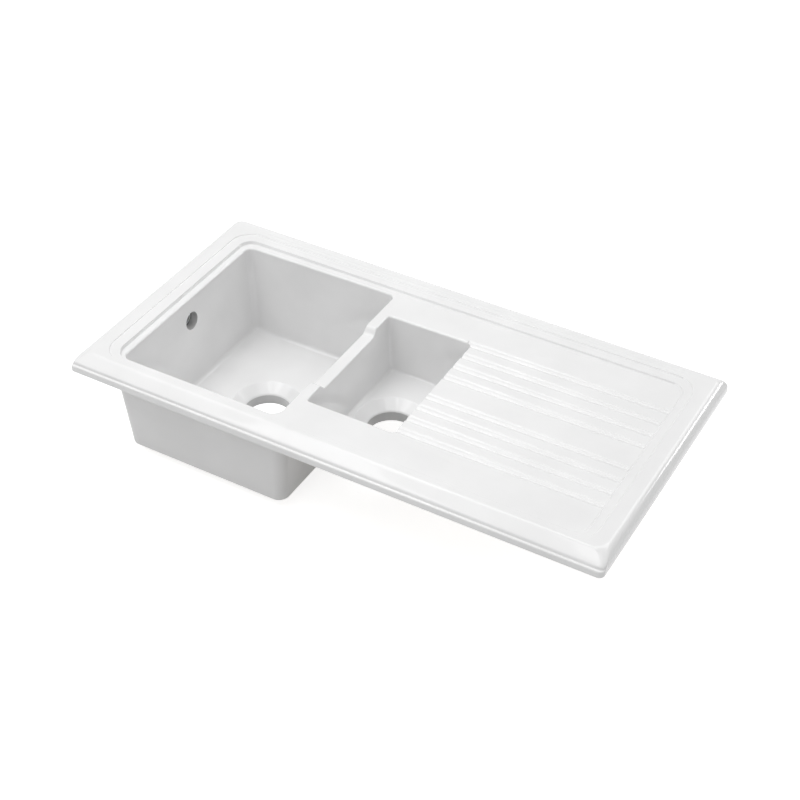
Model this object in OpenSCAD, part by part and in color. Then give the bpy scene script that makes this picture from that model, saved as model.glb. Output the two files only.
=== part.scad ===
// Inset fireclay sink with one large bowl, a half bowl and a fluted drainer on the right.
// X runs along the sink to the right, Y to the rear and Z up.
// The origin is the plan centre of the rim, on the plane of the worktop under the rim's seal.

/* [Rim] */
// Length of the rim along X
rim_l = 1023; // [1000:1:1070]
// Width of the rim along Y
rim_w = 523; // [510:1:550]
// Height of the rim's outer face above the seal
rim_h = 31; // [28:1:40]
// Plan radius of the rim's corners
rim_r = 15; // [15:1:30]
// Rounding of the rim's top edge at the left, the right and the rear
edge_r = 14; // [3:1:14]
// Width of the foot that lies on the seal
foot_w = 24; // [20:1:28]
// Rise of the hollow under the rim above the foot
hollow_h = 11; // [8:0.5:12]

/* [Steps] */
// Depth of the outer step under the rim's top
outer_step = 2; // [1:0.5:3]
// Inset of the outer step from the left side
outer_left = 38; // [33:1:43]
// Inset of the outer step from the right side
outer_right = 39; // [34:1:44]
// Inset of the outer step from the front side
outer_front = 37; // [35:1:39]
// Inset of the outer step from the rear side
outer_rear = 35; // [31:1:41]
// Plan radius of the outer step's front corners
outer_front_r = 36; // [20:1:40]
// Plan radius of the outer step's rear corners
outer_rear_r = 42; // [20:1:60]
// Inset of the inner step from the outer step at the left and the rear
inner_wide = 23; // [18:1:26]
// Inset of the inner step from the outer step at the right
inner_right = 16; // [12:1:20]
// Inset of the inner step from the outer step at the front
inner_front = 10; // [6:1:12]
// Plan radius of the inner step's corners
inner_r = 25; // [15:1:40]

/* [Deck] */
// Depth of the deck under the rim's top, at the middle of the length
deck_drop = 6.3; // [5:0.1:9]
// Slope of the deck down to the left, in degrees
deck_slope = 0.256; // [0.1:0.01:0.3]

/* [Moulded front] */
// Width of the flat crest between the outer step and the moulded band
crest_w = 3.8; // [2:0.2:5]
// Height of the flat lip at the foot of the moulded front
lip_h = 13.5; // [11:0.5:15]
// Radius of the small bead on the lip
bead_r = 2.5; // [1:0.5:3]
// Distance from the rim's front face to the foot of the cove
cove_in = 5; // [4:0.5:5]

/* [Main bowl] */
// Length of the opening along X
main_l = 324.4; // [300:0.2:330]
// Distance from the rim's front side to the opening
main_front = 56.5; // [55:0.5:75]
// Distance from the rim's rear side to the opening
main_rear = 71.5; // [70:0.5:90]
// Distance from the rim's left side to the opening
main_left = 72.6; // [71:0.2:83]
// Depth of the floor under the rim's top
main_d = 190; // [150:1:200]
// Lean of each wall over the whole depth
main_draft = 13; // [8:0.5:16]
// Radius of the opening's corners
main_r = 12; // [6:1:16]
// Radius of the corners at the floor
main_low_r = 12; // [10:1:24]

/* [Half bowl] */
// Length of the opening along X
half_l = 170.1; // [160:0.1:180]
// Width of the opening along Y
half_w = 277.6; // [240:0.1:290]
// Thickness of the divider at its top
divider_t = 21.9; // [18:0.1:24]
// Depth of the floor under the rim's top
half_d = 119; // [100:1:130]
// Lean of each wall over the whole depth
half_draft = 9.5; // [6:0.5:12]
// Radius of the opening's corners
half_r = 5.5; // [4:0.5:12]
// Radius of the corners at the floor
half_low_r = 9; // [8:1:20]

/* [Walls] */
// Thickness of the bowls' walls
wall_t = 17; // [14:0.5:18]
// Thickness of the bowls' floors
floor_t = 16; // [14:0.5:18]
// Radius between a bowl's walls and its floor
floor_r = 9; // [8:1:20]

/* [Weir] */
// Depth of the weir in the divider, under the deck
weir_d = 12; // [8:0.5:14]
// Width of the weir at its floor
weir_w = 164; // [120:1:180]
// Run of the ramp at each end of the weir
weir_run = 14.6; // [10:0.2:20]

/* [Outlets] */
// Radius of the waste outlets' bores
outlet_r = 45; // [43:0.5:46]
// Length of the bores
outlet_l = 21; // [18:1:24]
// Radius of the dish round each outlet
dish_r = 66; // [60:1:68]
// Depth of the dish
dish_d = 15.5; // [12:0.5:18]
// Wall round the bores under the floors
outlet_wall = 17; // [14:1:18]

/* [Drainer] */
// Distance from the rim's middle to the first groove's rear edge
groove_first = 133.2; // [130:0.1:136]
// Distance from one groove to the next
groove_pitch = 34; // [33:0.2:34.6]
// Gap between the fourth and the fifth groove
groove_gap = 62.4; // [60:0.2:64]
// Depth of the grooves at the half bowl
groove_d = 4.9; // [3:0.1:5]
// Depth of the grooves at the inner step
groove_end_d = 0.7; // [0.4:0.1:1.5]

/* [Overflow] */
// Radius of the overflow hole
over_r = 17.5; // [15:0.5:20]
// Depth of the overflow hole's middle under the rim's top
over_d = 56.5; // [52:0.5:70]
// Reach of the boss behind the wall, from the rim's side
over_in = 53; // [52:0.5:55]
// Wall of the boss round the hole
over_wall = 7.5; // [6:0.5:9]
// Thickness of the rubber sleeve's wall and flange
sleeve_t = 2; // [1.5:0.1:3]
// Length of the sleeve in the hole
sleeve_l = 8; // [6:0.5:8]
// Radius of the elbow's round body
elbow_r = 18; // [16.5:0.5:18.5]
// Depth of the elbow's round body along X
elbow_l = 18; // [17.5:0.5:18]
// Wall of the elbow
elbow_t = 2; // [1.5:0.1:2.5]
// Radius of the hose tail
tail_r = 8; // [7:0.5:8]
// Length of the hose tail under its stop
tail_l = 30; // [20:1:40]
// Step of the stop that the hose is pushed up to
stop_t = 0.7; // [0.5:0.1:0.8]

/* [Seal] */
// Thickness of the seal under the foot
seal_t = 3; // [2:0.5:5]
// Width of the seal
seal_w = 12; // [8:1:14]
// Distance from the rim's outer face to the seal
seal_in = 6; // [5:1:6]

/* [Hidden] */
$fn = 96;
// Sides of the circles in the bowls' hulls
hull_fn = 32;
// Length that a cut runs past the face it opens
clear = 1;
// Thickness of one section in a bowl's hull
leaf = 0.02;
// Smallest corner radius of such a section
leaf_r = 2;
// Overlap of a bowl's shell and the deck above it
lap = 5;
// Extra radius of a shell's upright corners over its room's
shell_round = 4;
rim_x = rim_l / 2;
rim_y = rim_w / 2;
top_z = seal_t + rim_h;
under_z = seal_t + hollow_h;
outer_x0 = -rim_x + outer_left;
outer_x1 = rim_x - outer_right;
outer_y0 = -rim_y + outer_front;
outer_y1 = rim_y - outer_rear;
inner_x0 = outer_x0 + inner_wide;
inner_x1 = outer_x1 - inner_right;
inner_y0 = outer_y0 + inner_front;
inner_y1 = outer_y1 - inner_wide;
main_x0 = -rim_x + main_left;
main_x1 = main_x0 + main_l;
main_cx = main_x0 + main_l / 2;
main_w = rim_w - main_front - main_rear;
half_x0 = main_x1 + divider_t;
half_x1 = half_x0 + half_l;
half_cx = half_x0 + half_l / 2;
// Both bowls, the weir, the outlets and the overflow lie on this line
bowl_cy = -rim_y + main_front + main_w / 2;
main_z = top_z - main_d;
half_z = top_z - half_d;
over_cy = bowl_cy;
over_z = top_z - over_d;
// Plane that the boss ends on
boss_x = -rim_x + over_in;
spigot_r = over_r - sleeve_t;
elbow_x1 = boss_x - sleeve_t;
tail_x = elbow_x1 - elbow_l / 2;
// Plane that the hose is pushed up to
tail_z = over_z - elbow_r - clear;
GLAZE = [0.95, 0.95, 0.94];
RUBBER = [0.10, 0.10, 0.11];
PLASTIC = [0.90, 0.91, 0.91];

// Height of the deck at x
function deck_z(x) = top_z - deck_drop + x * tan(deck_slope);

// Rounded rectangle with its own radius at the front and at the rear
module plate(x0, x1, y0, y1, front_r, rear_r) {
    translate([x0 + front_r, y0])
        square([x1 - x0 - 2 * front_r, y1 - y0 - rear_r]);
    translate([x0, y0 + front_r])
        square([x1 - x0, y1 - y0 - front_r - rear_r]);
    translate([x0 + rear_r, y1 - 2 * rear_r])
        square([x1 - x0 - 2 * rear_r, 2 * rear_r]);
    for (x = [x0 + front_r, x1 - front_r])
        translate([x, y0 + front_r])
            circle(front_r);
    for (x = [x0 + rear_r, x1 - rear_r])
        translate([x, y1 - rear_r])
            circle(rear_r);
}

// Section of the rim from its outer face inwards to x = 0, with the rounded top edge
module rim_section() {
    square([rim_r, rim_h - edge_r]);
    square([rim_r - edge_r, rim_h]);
    intersection() {
        translate([rim_r - edge_r, rim_h - edge_r])
            circle(edge_r);
        square([rim_r, rim_h]);
    }
}

// One straight side of the rim, of length l, its outer face towards +X
module rim_side(l) {
    rotate([90, 0, 0])
        translate([0, 0, -l / 2])
            linear_extrude(l)
                rim_section();
}

// The rim as a full block
module rim_block() {
    in_x = rim_x - rim_r;
    in_y = rim_y - rim_r;
    translate([-in_x, -in_y, seal_t])
        cube([2 * in_x, 2 * in_y, rim_h]);
    for (a = [0, 180])
        rotate([0, 0, a])
            translate([in_x, 0, seal_t])
                rim_side(2 * in_y);
    for (a = [90, 270])
        rotate([0, 0, a])
            translate([in_y, 0, seal_t])
                rim_side(2 * in_x);
    for (x = [-in_x, in_x], y = [-in_y, in_y])
        translate([x, y, seal_t])
            rotate_extrude()
                rim_section();
}

// Extrudes a section drawn in Y and Z along X, from x0 to x1
module along_x(x0, x1) {
    translate([x0, 0, 0])
        rotate([90, 0, 90])
            linear_extrude(x1 - x0)
                children();
}

// Room in front of the moulded front edge: a crowned band over a cove and a bead
module front_room() {
    step = [0, 4, 8, 12, 16, 20.5, 25, 27.4, 28.2];
    fall = [0, 0.5, 1.5, 3, 5, 7.3, 10, 12.3, 14];
    lip_z = seal_t + lip_h + bead_r;
    crest_y = outer_y0 - crest_w;
    band = [for (i = [0:len(step) - 1]) [crest_y - step[i], top_z - fall[i]]];
    bead = [for (a = [90:15:180]) [-rim_y + bead_r + bead_r * cos(a), lip_z - bead_r + bead_r * sin(a)]];
    along_x(-rim_x - clear, rim_x + clear)
        polygon(concat(
            [[-rim_y - clear, top_z + clear], [crest_y, top_z + clear]],
            band,
            [[-rim_y + cove_in, lip_z]],
            bead,
            [[-rim_y - clear, lip_z - bead_r]]
        ));
}

// Room over the stepped ledges and the sloping deck
module deck_room() {
    translate([0, 0, top_z - outer_step])
        linear_extrude(outer_step + clear)
            plate(outer_x0, outer_x1, outer_y0, outer_y1, outer_front_r, outer_rear_r);
    intersection() {
        translate([0, 0, under_z])
            linear_extrude(rim_h)
                plate(inner_x0, inner_x1, inner_y0, inner_y1, inner_r, inner_r);
        translate([0, 0, deck_z(0)])
            rotate([0, -deck_slope, 0])
                translate([-rim_x, -rim_y, 0])
                    cube([rim_l, rim_w, rim_h]);
    }
}

// Room under the deck, inside the foot
module under_room() {
    translate([0, 0, seal_t - clear])
        linear_extrude(hollow_h + clear)
            plate(-rim_x + foot_w, rim_x - foot_w, -rim_y + foot_w, rim_y - foot_w, rim_r, rim_r);
}

// One section of a bowl: half sizes, corner radius and height
module bowl_leaf(hx, hy, r, z) {
    translate([0, 0, z])
        linear_extrude(leaf)
            plate(-hx, hx, -hy, hy, r, r, $fn = hull_fn);
}

// A drafted bowl form with a rounded foot, between the heights z0 and z1
module bowl_form(l, w, draft, r, low_r, foot_r, z0, z1) {
    hull() {
        bowl_leaf(l / 2, w / 2, r, z1 - leaf);
        for (a = [0:22.5:90]) {
            inset = draft + foot_r * (1 - cos(a));
            corner_r = max(low_r + draft - inset, leaf_r);
            bowl_leaf(l / 2 - inset, w / 2 - inset, corner_r, z0 + foot_r * (1 - sin(a)));
        }
    }
}

// Shell of a bowl round its room, down to its floor's underside
module bowl_shell(l, w, draft, r, low_r, floor_z) {
    bowl_form(l + 2 * wall_t, w + 2 * wall_t, draft, r + wall_t / 2, low_r + shell_round, floor_r,
        floor_z - floor_t, under_z + lap);
}

// Room in a bowl, open at the deck
module bowl_room(l, w, draft, r, low_r, floor_z) {
    bowl_form(l, w, draft, r, low_r, floor_r, floor_z, top_z + clear);
}

// Body round an outlet, down to the end of its bore
module outlet_boss(x, floor_z) {
    translate([x, bowl_cy, floor_z - dish_d - outlet_l])
        cylinder(h = dish_d + outlet_l - clear, r = outlet_r + outlet_wall);
}

// Dish and bore of an outlet
module outlet_room(x, floor_z) {
    translate([x, bowl_cy, floor_z - dish_d])
        cylinder(h = dish_d, r1 = outlet_r, r2 = dish_r);
    translate([x, bowl_cy, floor_z - dish_d - outlet_l - clear])
        cylinder(h = dish_d + outlet_l + clear, r = outlet_r);
}

// Room of the weir in the divider, with its two ramps
module weir_room() {
    deck = deck_z(main_x1 + divider_t / 2);
    side = [[0, 0], [3, -1.2], [6, -4], [8.6, -8], [11.6, -10.8], [weir_run, -weir_d]];
    half = weir_w / 2 + weir_run;
    along_x(main_x1 - main_draft, half_x0 + half_draft)
        translate([bowl_cy, deck])
            polygon(concat(
                [[-half, rim_h]],
                [for (p = side) [-half + p[0], p[1]]],
                [for (i = [len(side) - 1:-1:0]) [half - side[i][0], side[i][1]]],
                [[half, rim_h]]
            ));
}

// Room of one drainer groove: rounded shoulder at the rear, gentle rise at the front
module groove_room(y) {
    run = inner_x1 - half_x1;
    fall = deck_z(half_x1) - groove_d;
    rise = deck_z(inner_x1) - groove_end_d - fall;
    section = [[5, 0], [3, -0.03], [1, -0.12], [-1, -0.32], [-3, -0.65], [-5, -0.9], [-7.5, -1], [-10, -0.94],
        [-13, -0.68], [-16, -0.3], [-19, 0]];
    translate([half_x1, y, fall + groove_d])
        rotate([0, -atan(rise / run), 0])
            along_x(-half_draft, run)
                polygon(concat(
                    [for (p = section) [p[0], p[1] * groove_d]],
                    [[-19, groove_d], [5, groove_d]]
                ));
}

// Room of the eight grooves, in two groups of four
module drainer_room() {
    for (i = [0:3]) {
        groove_room(groove_first - i * groove_pitch);
        groove_room(groove_first - (3 + i) * groove_pitch - groove_gap);
    }
}

// Boss behind the large bowl's left wall, for the overflow
module over_boss() {
    translate([boss_x, over_cy, over_z])
        rotate([0, 90, 0])
            cylinder(h = main_x0 - boss_x, r = over_r + over_wall);
}

// The overflow hole, through the wall and the boss
module over_room() {
    translate([boss_x - clear, over_cy, over_z])
        rotate([0, 90, 0])
            cylinder(h = main_x0 - boss_x + main_draft, r = over_r);
}

// Web that fills the wedge between the two bowls under the divider
module divider_web() {
    web_y = half_w / 2 - half_r - half_draft;
    translate([main_x1 - main_draft / 2, bowl_cy - web_y, half_z])
        cube([divider_t + main_draft / 2 + half_draft / 2, 2 * web_y, under_z - half_z + clear]);
}

module sink_body() {
    color(GLAZE)
        difference() {
            union() {
                difference() {
                    rim_block();
                    under_room();
                }
                translate([main_cx, bowl_cy, 0])
                    bowl_shell(main_l, main_w, main_draft, main_r, main_low_r, main_z);
                translate([half_cx, bowl_cy, 0])
                    bowl_shell(half_l, half_w, half_draft, half_r, half_low_r, half_z);
                outlet_boss(main_cx, main_z);
                outlet_boss(half_cx, half_z);
                divider_web();
                over_boss();
            }
            translate([main_cx, bowl_cy, 0])
                bowl_room(main_l, main_w, main_draft, main_r, main_low_r, main_z);
            translate([half_cx, bowl_cy, 0])
                bowl_room(half_l, half_w, half_draft, half_r, half_low_r, half_z);
            outlet_room(main_cx, main_z);
            outlet_room(half_cx, half_z);
            front_room();
            deck_room();
            weir_room();
            drainer_room();
            over_room();
        }
}

// Seal between the foot and the worktop
module rim_seal() {
    far = seal_in + seal_w;
    color(RUBBER)
        difference() {
            linear_extrude(seal_t)
                plate(-rim_x + seal_in, rim_x - seal_in, -rim_y + seal_in, rim_y - seal_in, rim_r, rim_r);
            translate([0, 0, -clear])
                linear_extrude(seal_t + 2 * clear)
                    plate(-rim_x + far, rim_x - far, -rim_y + far, rim_y - far, rim_r, rim_r);
        }
}

// Rubber sleeve in the overflow hole, with a flange on the boss
module overflow_sleeve() {
    color(RUBBER)
        translate([boss_x, over_cy, over_z])
            rotate([0, 90, 0])
                difference() {
                    union() {
                        cylinder(h = sleeve_l, r = over_r);
                        translate([0, 0, -sleeve_t])
                            cylinder(h = sleeve_t, r = over_r + over_wall / 2);
                    }
                    translate([0, 0, -sleeve_t - clear])
                        cylinder(h = sleeve_l + sleeve_t + 2 * clear, r = spigot_r);
                }
}

// Elbow with its spigot in the sleeve and its hose tail pointing down
module overflow_elbow() {
    color(PLASTIC)
        difference() {
            union() {
                translate([elbow_x1 - elbow_l, over_cy, over_z])
                    rotate([0, 90, 0])
                        cylinder(h = elbow_l, r = elbow_r);
                translate([elbow_x1 - clear, over_cy, over_z])
                    rotate([0, 90, 0])
                        cylinder(h = sleeve_t + sleeve_l + clear, r = spigot_r);
                translate([tail_x, over_cy, tail_z])
                    cylinder(h = elbow_r, r = tail_r + stop_t);
                translate([tail_x, over_cy, tail_z - tail_l])
                    cylinder(h = elbow_r + tail_l, r = tail_r);
            }
            translate([elbow_x1 - elbow_l + elbow_t, over_cy, over_z])
                rotate([0, 90, 0])
                    cylinder(h = elbow_l - 2 * elbow_t, r = elbow_r - elbow_t);
            translate([elbow_x1 - elbow_t - clear, over_cy, over_z])
                rotate([0, 90, 0])
                    cylinder(h = elbow_t + sleeve_t + sleeve_l + 2 * clear, r = spigot_r - elbow_t);
            translate([tail_x, over_cy, tail_z - tail_l - clear])
                cylinder(h = elbow_r + tail_l + clear, r = tail_r - elbow_t);
        }
}

sink_body();
rim_seal();
overflow_sleeve();
overflow_elbow();
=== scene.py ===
from math import cos, pi, radians, sin, sqrt, tan

import bmesh
import bpy
from mathutils import Matrix, Vector


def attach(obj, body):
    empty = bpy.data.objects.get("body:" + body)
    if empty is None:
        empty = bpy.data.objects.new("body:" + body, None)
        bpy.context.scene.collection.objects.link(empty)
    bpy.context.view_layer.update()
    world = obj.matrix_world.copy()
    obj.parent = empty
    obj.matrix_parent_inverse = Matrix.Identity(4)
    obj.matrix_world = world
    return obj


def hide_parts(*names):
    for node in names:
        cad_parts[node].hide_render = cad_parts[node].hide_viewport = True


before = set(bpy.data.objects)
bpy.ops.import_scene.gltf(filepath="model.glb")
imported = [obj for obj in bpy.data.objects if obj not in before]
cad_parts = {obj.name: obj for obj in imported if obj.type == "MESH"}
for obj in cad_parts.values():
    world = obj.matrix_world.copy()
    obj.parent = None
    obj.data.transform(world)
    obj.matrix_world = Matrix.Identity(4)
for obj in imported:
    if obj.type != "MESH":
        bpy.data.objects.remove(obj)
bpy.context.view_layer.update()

# Sink body
# The real sink is one fireclay casting under a thick white glaze. Its rim carries two fine
# steps round a deck that falls to the left, and a moulded edge along the front only.
# Two drafted bowls share a thin divider with a weir, and eight grooves drain into the small one.
# It is drawn in millimetres from a datum on the rim's top, 6.5 mm to the right of the rim's
# middle and 6.5 mm in front of it, and moved to its place at the end. Four values in a row stand
# for left, right, front and rear, and four radii go round from the front left corner.
MM = 0.001
RIM = {"x": (-518.0, 505.0), "y": (-255.0, 268.0)}
EDGE_IN, EDGE_DOWN = 16.0, 21.0
PLACE = (6.5, -6.5, 34.0)
FOOT_Z, FOOT_W = -31.0, 24.0
HOLLOW_Z, HOLLOW_R = -20.0, 11.0
DECK_DROP, DECK_SLOPE = 6.3, tan(radians(0.256))
LINE_Y = -1.0
MAIN = {"x": (-445.4, -121.0), "y": (-198.5, 196.5), "floor": -190.0, "draft": 13.0, "low_r": 10.0,
        "foot_r": 9.0, "lip": (4.0, 2.5, 4.0, 4.0), "radii": (15, 20, 13, 15),
        "wall": (19.0, 17.0, 17.0, 17.0), "shell_radii": (18, 22, 21, 21)}
HALF = {"x": (-99.1, 71.0), "y": (-139.8, 137.8), "floor": -119.0, "draft": 9.5, "low_r": 7.0,
        "foot_r": 5.0, "lip": (2.5, 2.0, 3.0, 4.5), "radii": (6, 6, 6, 6),
        "wall": (17.0, 17.0, 17.0, 17.0), "shell_radii": (21, 21, 21, 21)}
WALL, FLOOR_T = 17.0, 18.0
OUTLET_R, DISH_R, DISH_D, OUTLET_L = 45.0, 66.0, 15.5, 21.0
WEIR_D, WEIR_HALF, WEIR_RUN = 12.0, 82.0, 14.6


def deck(x):
    """Height of the deck at x, in mm under the rim's top."""
    return -DECK_DROP + x * DECK_SLOPE


def smooth(t):
    """Soft step from 0 to 1."""
    return t * t * (3 - 2 * t)


def sketch(name):
    """Starts an empty mesh and opens it in edit mode."""
    bpy.ops.object.select_all(action="DESELECT")
    bpy.ops.mesh.primitive_plane_add(size=MM)
    bpy.context.object.name = name
    bpy.ops.object.mode_set(mode="EDIT")
    bpy.ops.mesh.select_all(action="SELECT")
    bpy.ops.mesh.delete(type="VERT")
    bpy.ops.mesh.select_mode(type="VERT")


def pick(test):
    """Selects the vertices of the edited mesh that pass a test, and what lies between them."""
    mesh = bmesh.from_edit_mesh(bpy.context.object.data)
    for f in mesh.faces:
        f.select = False
    for e in mesh.edges:
        e.select = False
    for v in mesh.verts:
        v.select = bool(test(v))
    mesh.select_flush(True)


def ring_mark():
    """The layer that numbers the drawn lines of the edited mesh."""
    mesh = bmesh.from_edit_mesh(bpy.context.object.data)
    return mesh.verts.layers.int.get("line") or mesh.verts.layers.int.new("line")


def draw(points):
    """Draws a closed line through points in mm by extruding a vertex along it, and returns its number."""
    bpy.ops.mesh.select_all(action="DESELECT")
    bpy.ops.mesh.primitive_plane_add(size=MM, location=[c * MM for c in points[0]])
    bpy.ops.mesh.merge(type="CENTER")
    for a, b in zip(points, points[1:]):
        bpy.ops.mesh.extrude_vertices_move(
            TRANSFORM_OT_translate={"value": [(q - p) * MM for p, q in zip(a, b)]})
    pick(lambda v: len(v.link_edges) == 1)
    bpy.ops.mesh.edge_face_add()
    layer = ring_mark()
    mesh = bmesh.from_edit_mesh(bpy.context.object.data)
    number = 1 + max(v[layer] for v in mesh.verts)
    for v in mesh.verts:
        if v[layer] == 0:
            v[layer] = number
    return number


def pick_lines(numbers, test=lambda v: True):
    """Selects drawn lines by number, or the part of them that passes a test."""
    layer = ring_mark()
    pick(lambda v: v[layer] in numbers and test(v))


def cap(number):
    """Closes a drawn line with one face."""
    pick_lines((number,))
    bpy.ops.mesh.edge_face_add()


def fill_between(numbers):
    """Fills the flat ring or sheet that drawn lines bound."""
    layer = ring_mark()
    mesh = bmesh.from_edit_mesh(bpy.context.object.data)
    bpy.ops.mesh.select_all(action="DESELECT")
    bpy.ops.mesh.select_mode(type="EDGE")
    for e in mesh.edges:
        e.select = len(e.link_faces) < 2 and all(v[layer] in numbers for v in e.verts)
    bpy.ops.mesh.fill(use_beauty=True)
    bpy.ops.mesh.select_mode(type="VERT")


def middle(number):
    """Middle of a drawn line."""
    layer = ring_mark()
    mesh = bmesh.from_edit_mesh(bpy.context.object.data)
    points = [v.co for v in mesh.verts if v[layer] == number]
    return sum(points, Vector()) / len(points)


def bridge(numbers):
    """Joins each drawn line to the next by a band of faces, or a flat ring where both share a middle."""
    for a, b in zip(numbers, numbers[1:]):
        if (middle(a) - middle(b)).length < 0.001 * MM:
            fill_between((a, b))
        else:
            pick_lines((a, b))
            bpy.ops.mesh.bridge_edge_loops()


def close():
    """Merges doubled vertices, turns the normals outwards and leaves edit mode."""
    bpy.ops.mesh.select_all(action="SELECT")
    bpy.ops.mesh.remove_doubles(threshold=0.002 * MM)
    bpy.ops.mesh.normals_make_consistent(inside=False)
    bpy.ops.object.mode_set(mode="OBJECT")
    return bpy.context.object


def outline(x0, x1, y0, y1, radii, steps=8, right=(), left=()):
    """Rounded rectangle, counterclockwise; radii are front left, front right, rear right, rear left."""
    fl, fr, rr, rl = radii
    corners = ((x1 - fr, y0 + fr, fr, -90), (x1 - rr, y1 - rr, rr, 0),
               (x0 + rl, y1 - rl, rl, 90), (x0 + fl, y0 + fl, fl, 180))
    points = []
    for i, (cx, cy, r, start) in enumerate(corners):
        for k in range(steps + 1):
            a = radians(start + 90 * k / steps)
            points.append((cx + r * cos(a), cy + r * sin(a)))
        if i == 0:
            points += [(x1, y) for y in right]
        if i == 2:
            points += [(x0, y) for y in reversed(left)]
    return points


def boolean(target, tool, operation):
    """Joins or cuts by another solid, which is used up."""
    bpy.ops.object.select_all(action="DESELECT")
    bpy.context.view_layer.objects.active = target
    target.select_set(True)
    cut = target.modifiers.new("cut", "BOOLEAN")
    cut.operation = operation
    cut.solver = "EXACT"
    cut.object = tool
    bpy.ops.object.modifier_apply(modifier=cut.name)
    bpy.data.objects.remove(tool)


# Rim slab: outlines stacked from the flat top down. The front follows the moulding, and the
# three other sides a wide bullnose that meets it in a soft mitre at each front corner. Under
# FOOT_EDGE_Z the small rounding at the foot of the moulding goes round all four sides
MOULDING = [(-222.5, 0), (-225.5, -0.3), (-228, -1.2), (-231, -2.8), (-234, -4.4), (-237, -6),
            (-240, -7.6), (-243, -9.2), (-245.5, -10.6), (-247.4, -11.8), (-248.8, -12.8),
            (-249.5, -13.9), (-249.9, -15.2), (-250.3, -16.4), (-250.8, -17.1), (-251.6, -17.4),
            (-252.4, -17.5), (-253.2, -17.7), (-253.9, -18.1), (-254.6, -18.9), (-255, -20), (-255, -24),
            (-255, -27.5), (-254.9, -29), (-254.6, -30.3), (-254.2, FOOT_Z)]
FOOT_EDGE_Z = -25.0
sketch("slab")
lines = []
for front, z in MOULDING:
    bulge = sqrt(1 - max(1 + z / EDGE_DOWN, 0) ** 2)
    share = 1 - bulge
    out = EDGE_IN * share + (front - RIM["y"][0] if z < FOOT_EDGE_Z else 0)
    plan = outline(RIM["x"][0] + out, RIM["x"][1] - out, front, RIM["y"][1] - out,
                   (3 + 15 * share, 10 + 12 * share, 4 + 6 * share, 21 - 14 * share))
    lines.append(draw([(x, y, z) for x, y in plan]))
bridge(lines)
cap(lines[0])
cap(lines[-1])
slab = close()

# Shells of both bowls under the slab, each with rounded upright corners and a rounded foot
FOOT_R, SHELL_TOP = 6.0, -14.0
for bowl in (MAIN, HALF):
    (x0, x1), (y0, y1) = bowl["x"], bowl["y"]
    low = bowl["floor"] - FLOOR_T
    sketch("shell")
    lines = []
    sections = [(0, SHELL_TOP)]
    for k in range(8):
        a = radians(90 * k / 7)
        sections.append((bowl["draft"] + FOOT_R * (1 - cos(a)), low + FOOT_R * (1 - sin(a))))
    for back, z in sections:
        left, right, front, rear = [w - back for w in bowl["wall"]]
        rounding = max(back - bowl["draft"], 0)
        plan = outline(x0 - left, x1 + right, y0 - front, y1 + rear,
                       [r - rounding for r in bowl["shell_radii"]])
        lines.append(draw([(x, y, z) for x, y in plan]))
    bridge(lines)
    cap(lines[0])
    cap(lines[-1])
    boolean(slab, close(), "UNION")

# Web between the bowls, bosses round the outlets and boss of the overflow
WEB_PLACE, WEB_SIZE = (-109.5, LINE_Y, -68.0), (22.0, 240.0, 104.0)
BOSS_R, BOSS_ROUND, LAP = 62.0, 2.5, 8.0
OVER_R, OVER_Z, OVER_WALL, BOSS_X, BOSS_L = 17.5, -56.5, 7.5, -465.0, 20.0
bpy.ops.mesh.primitive_cube_add(size=1, location=[c * MM for c in WEB_PLACE])
bpy.ops.transform.resize(value=[c * MM for c in WEB_SIZE])
bpy.ops.object.transform_apply(location=True, rotation=True, scale=True)
boolean(slab, bpy.context.object, "UNION")
for bowl in (MAIN, HALF):
    bowl["cx"] = sum(bowl["x"]) / 2
    end = bowl["floor"] - DISH_D - OUTLET_L
    bpy.ops.mesh.primitive_cylinder_add(
        vertices=96, radius=BOSS_R * MM, depth=(OUTLET_L + LAP) * MM,
        location=(bowl["cx"] * MM, LINE_Y * MM, (end + (OUTLET_L + LAP) / 2) * MM))
    boss = bpy.context.object
    bpy.ops.object.transform_apply(location=True, rotation=False, scale=False)
    bpy.ops.object.mode_set(mode="EDIT")
    bpy.ops.mesh.select_mode(type="EDGE")
    bpy.ops.mesh.select_all(action="DESELECT")
    mesh = bmesh.from_edit_mesh(boss.data)
    for e in mesh.edges:
        e.select = all(v.co.z < (end + 0.01) * MM for v in e.verts)
    bpy.ops.mesh.bevel(offset=BOSS_ROUND * MM, segments=3)
    bpy.ops.mesh.select_mode(type="VERT")
    bpy.ops.object.mode_set(mode="OBJECT")
    boolean(slab, boss, "UNION")
bpy.ops.mesh.primitive_cylinder_add(
    vertices=72, radius=(OVER_R + OVER_WALL) * MM, depth=BOSS_L * MM, rotation=(0, pi / 2, 0),
    location=((BOSS_X + BOSS_L / 2) * MM, LINE_Y * MM, OVER_Z * MM))
bpy.ops.object.transform_apply(location=True, rotation=True, scale=True)
boolean(slab, bpy.context.object, "UNION")

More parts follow.
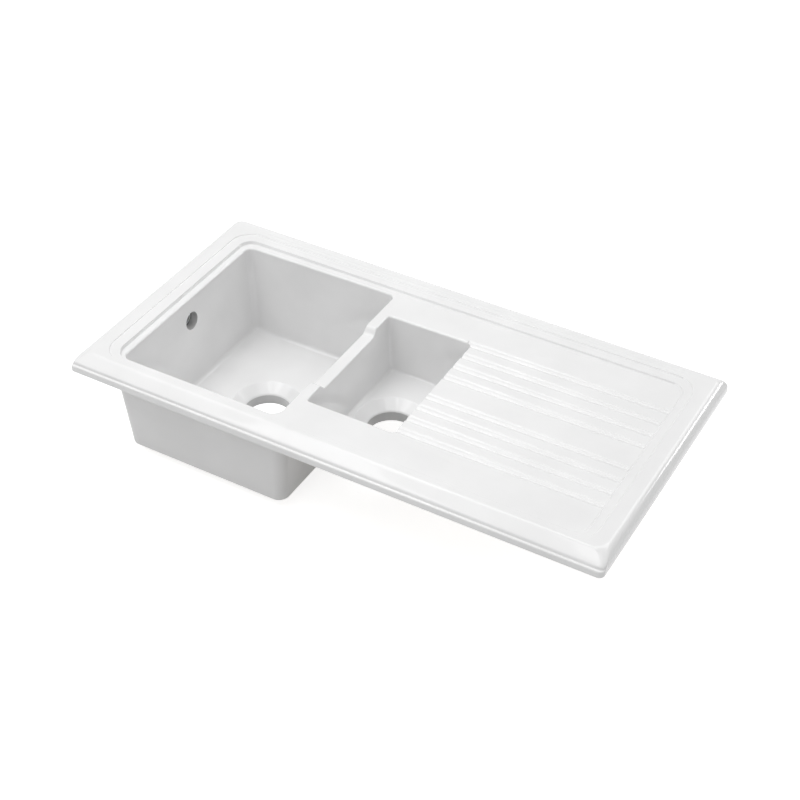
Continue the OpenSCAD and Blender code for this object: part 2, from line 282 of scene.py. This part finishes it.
# Hollow under the deck, inside the foot
sketch("hollow")
lines = []
for out, z in ((0, FOOT_Z - 1), (0, FOOT_Z), (-1.5, HOLLOW_Z - 4), (-3, HOLLOW_Z - 1.2), (-6, HOLLOW_Z)):
    inset = FOOT_W - out
    plan = outline(RIM["x"][0] + inset, RIM["x"][1] - inset, RIM["y"][0] + inset, RIM["y"][1] - inset,
                   (HOLLOW_R + out,) * 4)
    lines.append(draw([(x, y, z) for x, y in plan]))
bridge(lines)
cap(lines[0])
cap(lines[-1])
hollow = close()
for bowl in (MAIN, HALF):
    (x0, x1), (y0, y1) = bowl["x"], bowl["y"]
    sketch("keep")
    lines = []
    for z, out in ((FOOT_Z - 3, WALL - 1.2), (HOLLOW_Z + 2, WALL - 0.1)):
        plan = outline(x0 - out, x1 + out, y0 - out, y1 + out, (WALL + 2,) * 4)
        lines.append(draw([(x, y, z) for x, y in plan]))
    bridge(lines)
    cap(lines[0])
    cap(lines[-1])
    boolean(hollow, close(), "DIFFERENCE")
boolean(slab, hollow, "DIFFERENCE")

# Room above the glaze as one solid: both steps, deck, lips, weir and bowls
LIFT, OVERCUT = 20.0, 0.02
STEPS, STEP_D = 6, 2.0
OUTER = {"x": (-480, 466), "y": (-218, 231), "radii": (42, 33, 42, 42), "half_run": (0.7, 1.4, 0.8, 1.2)}
INNER = {"x": (-458.2, 450), "y": (-208, 211), "radii": (32, 25, 25, 25), "half_run": (0.9, 1.4, 1.0, 1.5)}


def riser(step, share):
    """Plan of a step at a share of its fall, from the top, 0, to the foot, 1."""
    left, right, front, rear = [run * (1 - 2 * share) for run in step["half_run"]]
    wide = (left + right + front + rear) / 4
    return outline(step["x"][0] - left, step["x"][1] + right, step["y"][0] - front, step["y"][1] + rear,
                   [r + wide for r in step["radii"]], 10)


sketch("room")
lines = [draw([(x, y, LIFT) for x, y in riser(OUTER, 0)])]
for k in range(STEPS + 1):
    t = k / STEPS
    lines.append(draw([(x, y, OVERCUT - (STEP_D + OVERCUT) * smooth(t)) for x, y in riser(OUTER, t)]))
bridge(lines)
cap(lines[0])
ledge = lines[-1]
lines = []
for k in range(STEPS + 1):
    t = k / STEPS
    lines.append(draw([(x, y, -STEP_D + (deck(x) + STEP_D) * smooth(t)) for x, y in riser(INNER, t)]))
bridge(lines)
fill_between((ledge, lines[0]))
deck_line = lines[-1]

ramp = [WEIR_HALF + WEIR_RUN * k / 8 for k in range(9)]
weir_y = [LINE_Y - y for y in reversed(ramp)] + [LINE_Y + y for y in ramp]


def weir(y):
    """Height of the weir against the deck."""
    t = (abs(y - LINE_Y) - WEIR_HALF) / WEIR_RUN
    return -WEIR_D * (1 - smooth(min(max(t, 0), 1)))


LIP_STEPS, FLOOR_STEPS = 6, 7
LIP_H, LEAST_R, NEAR = 4.0, 1.5, 0.01
WEIR_END = WEIR_HALF + WEIR_RUN + NEAR
for bowl in (MAIN, HALF):
    (x0, x1), (y0, y1) = bowl["x"], bowl["y"]
    sections = []
    for k in range(LIP_STEPS + 1):
        a = radians(90 * k / LIP_STEPS)
        out = [w * (1 - sin(a)) for w in bowl["lip"]]
        sections.append((out, -LIP_H * (1 - cos(a)), True, bowl["radii"]))
    low = bowl["floor"]
    for k in range(FLOOR_STEPS + 1):
        a = radians(90 * k / FLOOR_STEPS)
        fall = bowl["foot_r"] * (1 - cos(a))
        sections.append(([-bowl["draft"] - fall] * 4, low + bowl["foot_r"] * (1 - sin(a)), False,
                         (max(bowl["low_r"] - fall, LEAST_R),) * 4))
    lines = []
    for out, z, lip, radii in sections:
        wide = sum(out) / 4 if lip else 0
        plan = outline(x0 - out[0], x1 + out[1], y0 - out[2], y1 + out[3], [r + wide for r in radii],
                       right=weir_y if bowl is MAIN else (), left=weir_y if bowl is HALF else ())
        points = []
        for x, y in plan:
            inner_side = x > x1 - NEAR if bowl is MAIN else x < x0 + NEAR
            if lip:
                low_by = weir(y) if inner_side and abs(y - LINE_Y) <= WEIR_END else 0
                lean = -low_by * bowl["draft"] / -bowl["floor"]
                points.append((x - lean if bowl is MAIN else x + lean, y, deck(x) + z + low_by))
            else:
                points.append((x, y, z))
        lines.append(draw(points))
    bridge(lines)
    bowl["top"], bowl["bottom"] = lines[0], lines[-1]

# Top of the divider across the weir
divider = (MAIN["x"][1] - 1) * MM, (HALF["x"][0] + 3) * MM
pick_lines((MAIN["top"], HALF["top"]),
           lambda v: divider[0] < v.co.x < divider[1] and abs(v.co.y - LINE_Y * MM) < WEIR_END * MM)
bpy.ops.mesh.bridge_edge_loops()

# Deck round both bowls
fill_between((deck_line, MAIN["top"], HALF["top"]))

# Floors of both bowls
for bowl in (MAIN, HALF):
    cap(bowl["bottom"])
boolean(slab, close(), "DIFFERENCE")

# Dish round each outlet and the bore down through its boss
DISH = [(DISH_R + 4, 0.35), (DISH_R + 2, 0.08), (DISH_R + 0.5, -0.2), (DISH_R - 0.9, -1.0),
        (OUTLET_R + 2.0, -DISH_D + 1.3), (OUTLET_R + 0.5, -DISH_D - 0.3), (OUTLET_R, -DISH_D - 2),
        (OUTLET_R, -DISH_D - OUTLET_L - 5)]
for bowl in (MAIN, HALF):
    sketch("dish")
    lines = []
    for r, z in DISH:
        lines.append(draw([(bowl["cx"] + r * cos(2 * pi * k / 96), LINE_Y + r * sin(2 * pi * k / 96),
                            bowl["floor"] + z) for k in range(96)]))
    bridge(lines)
    cap(lines[0])
    cap(lines[-1])
    boolean(slab, close(), "DIFFERENCE")

# Eight grooves in two groups, deepest at the half bowl: two small steps down from the rear, then a
# long slope up to the front. Each end has its x, its depth and the marks, measured from the groove's
# line, where a step or the slope begins or ends
GROOVE_LINES = (139.7, 105.0, 71.0, 37.6, -24.8, -57.6, -91.4, -125.4)
GROOVE_ENDS = ((62.0, 5.2, (6.4, 2.6, -1.4, -4.7, -5.0, -14.5)),
               (448.3, 0.7, (3.2, -0.6, -2.9, -6.3, -6.6, -13.5)))
ABOVE = 0.03
sketch("grooves")
for y in GROOVE_LINES:
    lines = []
    for x, depth, marks in GROOVE_ENDS:
        levels = (ABOVE, -0.48 * depth, -0.52 * depth, -depth, -depth, ABOVE)
        section = []
        for m0, m1, z0, z1 in zip(marks, marks[1:], levels, levels[1:]):
            section += [(m0 + (m1 - m0) * k / 6, z0 + (z1 - z0) * smooth(k / 6)) for k in range(6)]
        section += [(marks[-1], ABOVE), (marks[-1] - 1, 0.5), (-16, 4), (8, 4), (marks[0] + 1, 0.5)]
        lines.append(draw([(x, y + a, deck(x) + b) for a, b in section]))
    bridge(lines)
    cap(lines[0])
    cap(lines[1])
boolean(slab, close(), "DIFFERENCE")

# Fine reeds along the rear ledges and the deck in front of them: each has its y, the height that it
# is cut into and its two ends, towards which it fades out
REED_W, REED_D = 9.0, 0.45
REEDS = ((244, lambda x: 0, -449, 450), (235.8, lambda x: 0, -443, 440),
         (225.5, lambda x: -STEP_D, -440, 435), (204.8, deck, -425, 425))
FADE = ((0, -0.1), (10, 0.3), (22, 0.8), (36, 1))
for reed_y, top, x_from, x_to in REEDS:
    sketch("reed")
    lines = []
    for x, depth in [(x_from + a, d) for a, d in FADE] + [(x_to - a, d) for a, d in reversed(FADE)]:
        points = []
        for k in range(11):
            o = REED_W * (k / 10 - 0.5)
            dip = (depth * REED_D + ABOVE) * cos(pi * o / REED_W) ** 2
            points.append((x, reed_y + o, top(x) + ABOVE - dip))
        points += [(x, reed_y + REED_W / 2, top(x) + 1.5), (x, reed_y - REED_W / 2, top(x) + 1.5)]
        lines.append(draw(points))
    bridge(lines)
    cap(lines[0])
    cap(lines[-1])
    boolean(slab, close(), "DIFFERENCE")

# Overflow hole, and its lip rounded square to the leaning wall
LIP_R, CUT_X, CUT_L = 1.3, -450.0, 50.0
bpy.ops.mesh.primitive_cylinder_add(vertices=72, radius=OVER_R * MM, depth=CUT_L * MM,
                                    rotation=(0, pi / 2, 0), location=(CUT_X * MM, LINE_Y * MM, OVER_Z * MM))
bpy.ops.object.transform_apply(location=True, rotation=True, scale=True)
boolean(slab, bpy.context.object, "DIFFERENCE")
lean = MAIN["draft"] / -MAIN["floor"]
flare = [(OVER_R + LIP_R + 1, -1), (OVER_R + LIP_R + 0.05, 0)]
for k in range(1, 6):
    a = radians(15 * k)
    flare.append((OVER_R + LIP_R * (1 - sin(a)), LIP_R * (1 - cos(a))))
flare.append((OVER_R - 0.4, LIP_R + 0.3))
sketch("flare")
lines = []
for r, into in flare:
    ring = []
    for k in range(72):
        a = 2 * pi * k / 72
        up = r * sin(a)
        ring.append((MAIN["x"][0] - OVER_Z * lean - into - up * lean, LINE_Y + r * cos(a), OVER_Z + up))
    lines.append(draw(ring))
bridge(lines)
cap(lines[0])
cap(lines[-1])
boolean(slab, close(), "DIFFERENCE")

# The finished body, moved to its place
body = slab
body.name = "sink_glaze"
body.data.name = "sink_glaze"
bpy.ops.object.select_all(action="DESELECT")
bpy.context.view_layer.objects.active = body
body.select_set(True)
bpy.ops.object.mode_set(mode="EDIT")
bpy.ops.mesh.select_all(action="SELECT")
bpy.ops.transform.translate(value=[c * MM for c in PLACE])
bpy.ops.mesh.select_all(action="DESELECT")
bpy.ops.object.mode_set(mode="OBJECT")
bpy.ops.object.shade_smooth_by_angle(angle=radians(35))
shading = body.modifiers.new("normals", "WEIGHTED_NORMAL")
shading.keep_sharp = True
shading.weight = 80
bpy.ops.object.modifier_apply(modifier=shading.name)

# Glaze: thick, glossy and very slightly uneven, darker in the outlets' bores and the overflow hole as
# painted shade, and left off the faces that point down
GLAZE_THICK, GLAZE_THIN = (0.80, 0.80, 0.80, 1), (0.83, 0.83, 0.83, 1)
# Darker greys for the walls of the bores and the overflow hole: painted shade
BORE_PAINTED_SHADE_DARK, BORE_PAINTED_SHADE_LIGHT = (0.50, 0.50, 0.50, 1), (0.56, 0.56, 0.56, 1)
CLAY_DARK, CLAY_LIGHT = (0.52, 0.46, 0.38, 1), (0.62, 0.56, 0.47, 1)


def finish(name):
    """Starts a material that has object coordinates at hand."""
    material = bpy.data.materials.new(name)
    material.use_nodes = True
    material.node_tree.nodes.new("ShaderNodeTexCoord").name = "place"
    return material, material.node_tree, material.node_tree.nodes["Principled BSDF"]


def noise(tree, size_mm, detail=2.0):
    """Cloudy pattern whose lumps are about a given size."""
    node = tree.nodes.new("ShaderNodeTexNoise")
    node.inputs["Scale"].default_value = 1 / (size_mm * MM)
    node.inputs["Detail"].default_value = detail
    tree.links.new(tree.nodes["place"].outputs["Object"], node.inputs["Vector"])
    return node.outputs["Fac"]


def spread(tree, value, low, high, at_low=0.0, at_high=1.0):
    """Stretches a value between two ends and holds it there."""
    node = tree.nodes.new("ShaderNodeMapRange")
    for socket, number in (("From Min", low), ("From Max", high), ("To Min", at_low), ("To Max", at_high)):
        node.inputs[socket].default_value = number
    tree.links.new(value, node.inputs["Value"])
    return node.outputs["Result"]


def blend(tree, share, *colours):
    """Mixes two colours, each a plain one or another node's."""
    node = tree.nodes.new("ShaderNodeMix")
    node.data_type = "RGBA"
    tree.links.new(share, node.inputs["Factor"])
    for socket, colour in zip((6, 7), colours):
        if isinstance(colour, tuple):
            node.inputs[socket].default_value = colour
        else:
            tree.links.new(colour, node.inputs[socket])
    return node.outputs[2]


def combine(tree, operation, *values):
    """Joins two or three values by one math node."""
    node = tree.nodes.new("ShaderNodeMath")
    node.operation = operation
    for value, socket in zip(values, node.inputs):
        tree.links.new(value, socket)
    return node.outputs["Value"]


def relief(tree, height, depth_mm, strength):
    """Raises the shader's surface by a pattern."""
    node = tree.nodes.new("ShaderNodeBump")
    node.inputs["Strength"].default_value = strength
    node.inputs["Distance"].default_value = depth_mm * MM
    tree.links.new(height, node.inputs["Height"])
    tree.links.new(node.outputs["Normal"], tree.nodes["Principled BSDF"].inputs["Normal"])


def glazed(name, thick, thin):
    """Adds a glaze to the body: two tones of it, random on the white glaze and painted shade in the bores,
    and clay where a face points down.
    """
    glaze, tree, shader = finish(name)
    shader.inputs["IOR"].default_value = 1.5
    facing = tree.nodes.new("ShaderNodeSeparateXYZ")
    tree.links.new(tree.nodes["place"].outputs["Normal"], facing.inputs["Vector"])
    bare = spread(tree, facing.outputs["Z"], -0.8, -0.95)
    grain = noise(tree, 3, 4.0)
    skin = blend(tree, spread(tree, noise(tree, 90), 0.35, 0.65), thick, thin)
    clay = blend(tree, grain, CLAY_DARK, CLAY_LIGHT)
    tree.links.new(blend(tree, bare, skin, clay), shader.inputs["Base Color"])
    gloss = spread(tree, noise(tree, 25), 0.3, 0.7, 0.025, 0.05)
    dull = spread(tree, bare, 0, 1, 0, 0.8)
    tree.links.new(combine(tree, "MAXIMUM", gloss, dull), shader.inputs["Roughness"])
    relief(tree, combine(tree, "MULTIPLY_ADD", grain, bare, noise(tree, 14)), 0.1, 0.05)
    body.data.materials.append(glaze)


def in_bore(x, y, z, normal):
    """Tells the walls of the outlets' bores and of the overflow hole, which get painted shade, from all
    other faces.
    """
    for bowl in (MAIN, HALF):
        near = (x - bowl["cx"]) ** 2 + (y - LINE_Y) ** 2 < (OUTLET_R + 0.3) ** 2
        if near and abs(normal.z) < 0.5 and z < bowl["floor"] - DISH_D - 1.5:
            return True
    near = (y - LINE_Y) ** 2 + (z - OVER_Z) ** 2 < (OVER_R + 0.2) ** 2
    return near and abs(normal.x) < 0.3 and x < MAIN["x"][0] + 5


body.data.materials.clear()
glazed("white glaze", GLAZE_THICK, GLAZE_THIN)
# The second glaze paints shade onto the walls of the bores and the overflow hole
glazed("glaze with painted shade in the bores", BORE_PAINTED_SHADE_DARK, BORE_PAINTED_SHADE_LIGHT)
for face in body.data.polygons:
    x, y, z = [c / MM - p for c, p in zip(face.center, PLACE)]
    face.material_index = 1 if in_bore(x, y, z, face.normal) else 0
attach(body, "root")
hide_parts("sink_body")

# Rim seal
# A closed strip of soft black foam rubber, pressed to 3 mm between the rim's foot and the worktop.
# Its edges are rounded by the pressure, and its skin shows the foam's fine cells.
SEAL_IN, SEAL_W, SEAL_T, SEAL_EDGE, SEAL_CORNER = 6.0, 12.0, 3.0, 1.0, 16.0
HALF_L, HALF_W = (RIM["x"][1] - RIM["x"][0]) / 2, (RIM["y"][1] - RIM["y"][0]) / 2
sketch("seal_foam")
lines = []
for across, up, start in ((0, 0, 180), (0, 1, 90), (1, 1, 0), (1, 0, -90)):
    for k in range(4):
        a = radians(start + 90 - 90 * k / 3)
        inset = SEAL_IN + (SEAL_W - SEAL_EDGE if across else SEAL_EDGE) + SEAL_EDGE * cos(a)
        z = (SEAL_T - SEAL_EDGE if up else SEAL_EDGE) + SEAL_EDGE * sin(a)
        plan = outline(-HALF_L + inset, HALF_L - inset, -HALF_W + inset, HALF_W - inset,
                       (SEAL_CORNER - inset / 3,) * 4)
        lines.append(draw([(x, y, z) for x, y in plan]))
bridge(lines + lines[:1])
seal = close()
bpy.ops.object.shade_smooth_by_angle(angle=radians(35))
foam, tree, shader = finish("black foam rubber")
cells = tree.nodes.new("ShaderNodeTexVoronoi")
cells.inputs["Scale"].default_value = 1 / (0.8 * MM)
tree.links.new(tree.nodes["place"].outputs["Object"], cells.inputs["Vector"])
tree.links.new(blend(tree, noise(tree, 20), (0.018, 0.018, 0.02, 1), (0.035, 0.035, 0.037, 1)),
               shader.inputs["Base Color"])
tree.links.new(spread(tree, noise(tree, 6), 0.3, 0.7, 0.8, 0.95), shader.inputs["Roughness"])
relief(tree, cells.outputs["Distance"], 0.25, 0.6)
seal.data.materials.append(foam)
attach(seal, "root")
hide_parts("rim_seal")

# Overflow sleeve
# A moulded rubber sleeve, pushed into the overflow hole from behind until its flange lies on
# the boss. Three low ribs inside it grip the elbow.
OVER_X, OVER_Y, OVER_UP = BOSS_X + PLACE[0], LINE_Y + PLACE[1], OVER_Z + PLACE[2]
SLEEVE_T, SLEEVE_L, FLANGE_R = 2.0, 8.0, 21.25
RIBS, RIB_H = (5.6, 3.6, 1.6), 0.3


def turned(name, profile, upright=None, closed=False, sides=72):
    """Turns a profile of (along, radius) round the overflow's axis, or round an upright one at x."""
    sketch(name)
    lines = []
    for along, r in profile:
        angles = [2 * pi * (k + 0.5) / sides for k in range(sides)]
        turn = [(r * cos(a), r * sin(a)) for a in angles]
        if upright is None:
            lines.append(draw([(OVER_X + along, OVER_Y + a, OVER_UP + b) for a, b in turn]))
        else:
            lines.append(draw([(upright + a, OVER_Y + b, along) for a, b in turn]))
    bridge(lines + (lines[:1] if closed else []))
    if not closed:
        cap(lines[0])
        cap(lines[-1])
    return close()


inner_r = OVER_R - SLEEVE_T
profile = [(-1.4, inner_r), (-2, inner_r + 0.6), (-2, FLANGE_R - 0.8), (-1.8, FLANGE_R - 0.2),
           (-1.2, FLANGE_R), (-0.5, FLANGE_R), (0, FLANGE_R - 0.5), (0, OVER_R), (SLEEVE_L - 0.8, OVER_R),
           (SLEEVE_L - 0.2, OVER_R - 0.3), (SLEEVE_L, OVER_R - 0.9), (SLEEVE_L, inner_r + 0.5),
           (SLEEVE_L - 0.5, inner_r)]
for rib in RIBS:
    profile += [(rib + 0.6, inner_r + RIB_H), (rib, inner_r)]
sleeve = turned("sleeve_rubber", profile, closed=True)
bpy.ops.object.shade_smooth_by_angle(angle=radians(30))
rubber, tree, shader = finish("black moulded rubber")
tree.links.new(blend(tree, noise(tree, 8), (0.015, 0.015, 0.017, 1), (0.028, 0.028, 0.03, 1)),
               shader.inputs["Base Color"])
tree.links.new(spread(tree, noise(tree, 4), 0.3, 0.7, 0.5, 0.68), shader.inputs["Roughness"])
relief(tree, noise(tree, 0.7), 0.05, 0.4)
sleeve.data.materials.append(rubber)
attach(sleeve, "root")
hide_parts("overflow_sleeve")

# Overflow elbow
# A white polypropylene moulding: a round box with a spigot that is pushed into the sleeve and has two
# bars across it, and a tail with three barbs that points down. The hose goes up to the tail's collar.
ELBOW_R, ELBOW_L, ELBOW_T = 18.0, 18.0, 2.0
TAIL_R, TAIL_L, COLLAR = 8.0, 30.0, 0.7
BARBS, BARB_PITCH, BARB_H = 3, 8.0, 0.8
BAR_X, BAR_L, BAR_T = 6.6, 2.4, 1.6
BARS = ((1.0, 29.0), (7.5, 24.65))
start = -SLEEVE_T
back = start - ELBOW_L
spigot_end = SLEEVE_L
groove_r = ELBOW_R - 0.6
bore_r = inner_r - ELBOW_T
elbow = turned("elbow_moulding", [
    (back + 0.8, 10.5), (back + 0.8, 11), (back, 11.8), (back, 15.5), (back + 0.3, 16.9), (back + 1.1, 17.7),
    (back + 2.2, ELBOW_R), (start - 14.6, ELBOW_R), (start - 14.1, groove_r), (start - 4.2, groove_r),
    (start - 3.7, ELBOW_R), (start - 0.9, ELBOW_R), (start - 0.3, 17.7), (start, 17.1), (start, inner_r),
    (spigot_end - 0.6, inner_r), (spigot_end, inner_r - 0.6), (spigot_end, bore_r),
    (start - ELBOW_T, bore_r), (start - ELBOW_T, ELBOW_R - ELBOW_T),
    (back + ELBOW_T + 0.8, ELBOW_R - ELBOW_T), (back + ELBOW_T, ELBOW_R - ELBOW_T - 0.8)])
tail_x = OVER_X + start - ELBOW_L / 2
collar_z = OVER_UP - ELBOW_R - 1
collar_r = TAIL_R + COLLAR
neck_r = TAIL_R - BARB_H
profile = [(OVER_UP - 14.5, collar_r), (collar_z + 0.3, collar_r), (collar_z, collar_r - 0.3),
           (collar_z, neck_r)]
for barb in range(BARBS):
    z = collar_z - 4 - BARB_PITCH * barb
    profile += [(z, neck_r), (z - 0.4, TAIL_R), (z - 1.2, TAIL_R), (z - 6.5, neck_r)]
profile += [(collar_z - TAIL_L + 0.8, neck_r), (collar_z - TAIL_L, TAIL_R - 1.5)]
boolean(elbow, turned("tail", profile, tail_x), "UNION")
bore = [(OVER_UP - 12, TAIL_R - ELBOW_T), (collar_z - TAIL_L - 1, TAIL_R - ELBOW_T)]
boolean(elbow, turned("bore", bore, tail_x), "DIFFERENCE")
for up, width in BARS:
    bpy.ops.mesh.primitive_cube_add(
        size=1, location=((OVER_X + BAR_X) * MM, OVER_Y * MM, (OVER_UP + up) * MM))
    bpy.ops.transform.resize(value=(BAR_L * MM, width * MM, BAR_T * MM))
    bpy.ops.object.transform_apply(location=True, rotation=True, scale=True)
    boolean(elbow, bpy.context.object, "UNION")
bpy.ops.object.select_all(action="DESELECT")
bpy.context.view_layer.objects.active = elbow
elbow.select_set(True)
bpy.ops.object.shade_smooth_by_angle(angle=radians(30))
moulding, tree, shader = finish("white polypropylene")
tree.links.new(blend(tree, noise(tree, 12), (0.74, 0.75, 0.75, 1), (0.79, 0.80, 0.80, 1)),
               shader.inputs["Base Color"])
tree.links.new(spread(tree, noise(tree, 5), 0.3, 0.7, 0.3, 0.42), shader.inputs["Roughness"])
shader.inputs["Subsurface Weight"].default_value = 0.05
relief(tree, noise(tree, 0.9), 0.04, 0.3)
elbow.data.materials.append(moulding)
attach(elbow, "root")
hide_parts("overflow_elbow")

# Floor
# A plain pale sheet of studio paper at the height of the lowest boss. It shows white to the
# camera and in reflections, and keeps a faint shadow of the sink.
PAPER, PAPER_GLOW, SHEET = 0.7, 0.8, 40.0
floor_z = (MAIN["floor"] - DISH_D - OUTLET_L + PLACE[2]) * MM
bpy.ops.mesh.primitive_plane_add(size=SHEET, location=(0, 0, floor_z))
floor = bpy.context.object
floor.name = "studio_floor"
paper = bpy.data.materials.new("paper")
paper.use_nodes = True
nodes, wires = paper.node_tree.nodes, paper.node_tree.links
sheet = nodes["Principled BSDF"]
sheet.inputs["Base Color"].default_value = (PAPER, PAPER, PAPER, 1)
sheet.inputs["Roughness"].default_value = 1.0
sheet.inputs["Specular IOR Level"].default_value = 0.0


def seen_rays(nodes, wires):
    """1 for the rays that show the background: the camera's, and reflected and refracted ones."""
    rays = nodes.new("ShaderNodeLightPath")
    share = rays.outputs["Is Camera Ray"]
    for kind in ("Is Glossy Ray", "Is Transmission Ray"):
        either = nodes.new("ShaderNodeMath")
        either.operation = "MAXIMUM"
        wires.new(share, either.inputs[0])
        wires.new(rays.outputs[kind], either.inputs[1])
        share = either.outputs["Value"]
    return share


glow = nodes.new("ShaderNodeEmission")
glow.name = "glow"
scale = nodes.new("ShaderNodeMath")
scale.operation = "MULTIPLY"
scale.name = "glow strength"
scale.inputs[1].default_value = PAPER_GLOW
wires.new(seen_rays(nodes, wires), scale.inputs[0])
wires.new(scale.outputs["Value"], glow.inputs["Strength"])
both = nodes.new("ShaderNodeAddShader")
wires.new(sheet.outputs["BSDF"], both.inputs[0])
wires.new(glow.outputs["Emission"], both.inputs[1])
wires.new(both.outputs["Shader"], nodes["Material Output"].inputs["Surface"])
floor.data.materials.append(paper)

# Light
# A white studio that fills in from all round, and square soft lamps 3 m away. Each lamp has its angle
# to the right of the sink's front and its height, both in degrees, its watts and its width in metres.
SKY, LAMPS_AWAY = 0.3, 3.0
LAMPS = (("front low", -15, 8, 7, 1.5), ("right", 64, 29, 8.5, 1.5), ("rear right", 138, 20, 8, 0.6),
         ("left", -94, 60, 12, 1.5), ("front left", -52, 50, 10.5, 1.5), ("rear", 164, 50, 13, 1.5),
         ("rear left high", -139, 70, 16, 1.4), ("front left high", -35, 68, 14, 1.5),
         ("front right high", 30, 70, 10, 1.5))
world = bpy.data.worlds.new("studio")
bpy.context.scene.world = world
world.use_nodes = True
nodes, wires = world.node_tree.nodes, world.node_tree.links
fill = nodes["Background"]
fill.name = "fill"
fill.inputs["Color"].default_value = (1, 1, 1, 1)
fill.inputs["Strength"].default_value = SKY
white = nodes.new("ShaderNodeBackground")
white.name = "white"
white.inputs["Color"].default_value = (1, 1, 1, 1)
white.inputs["Strength"].default_value = 1.0
either = nodes.new("ShaderNodeMixShader")
wires.new(seen_rays(nodes, wires), either.inputs["Fac"])
wires.new(fill.outputs["Background"], either.inputs[1])
wires.new(white.outputs["Background"], either.inputs[2])
wires.new(either.outputs["Shader"], nodes["World Output"].inputs["Surface"])
for name, angle, height, watts, wide in LAMPS:
    lamp = bpy.data.lights.new(name, "AREA")
    lamp.shape = "SQUARE"
    lamp.size = wide
    lamp.energy = watts
    turn, rise = radians(angle), radians(height)
    way = Vector((sin(turn) * cos(rise), -cos(turn) * cos(rise), sin(rise)))
    lamp_object = bpy.data.objects.new(name, lamp)
    lamp_object.location = way * LAMPS_AWAY
    lamp_object.rotation_euler = way.to_track_quat("Z", "Y").to_euler()
    lamp_object.visible_camera = False
    bpy.context.scene.collection.objects.link(lamp_object)

# Camera
# The photograph's viewpoint, found from the rim's four outer edges. The angles are in radians.
EYE = (1.10572, -1.91457, 1.78607)
YAW, PITCH, ROLL = 0.521368, 0.690067, 0.001316
LENS = 73.082
camera = bpy.data.cameras.new("camera")
camera.lens = LENS
camera.sensor_width = 36
camera.clip_end = 100
camera_object = bpy.data.objects.new("camera", camera)
bpy.context.scene.collection.objects.link(camera_object)
camera_object.matrix_world = (Matrix.Translation(EYE) @ Matrix.Rotation(YAW, 4, "Z")
                              @ Matrix.Rotation(pi / 2 - PITCH, 4, "X") @ Matrix.Rotation(ROLL, 4, "Z"))
bpy.context.scene.camera = camera_object
bpy.context.scene.view_settings.view_transform = "Standard"
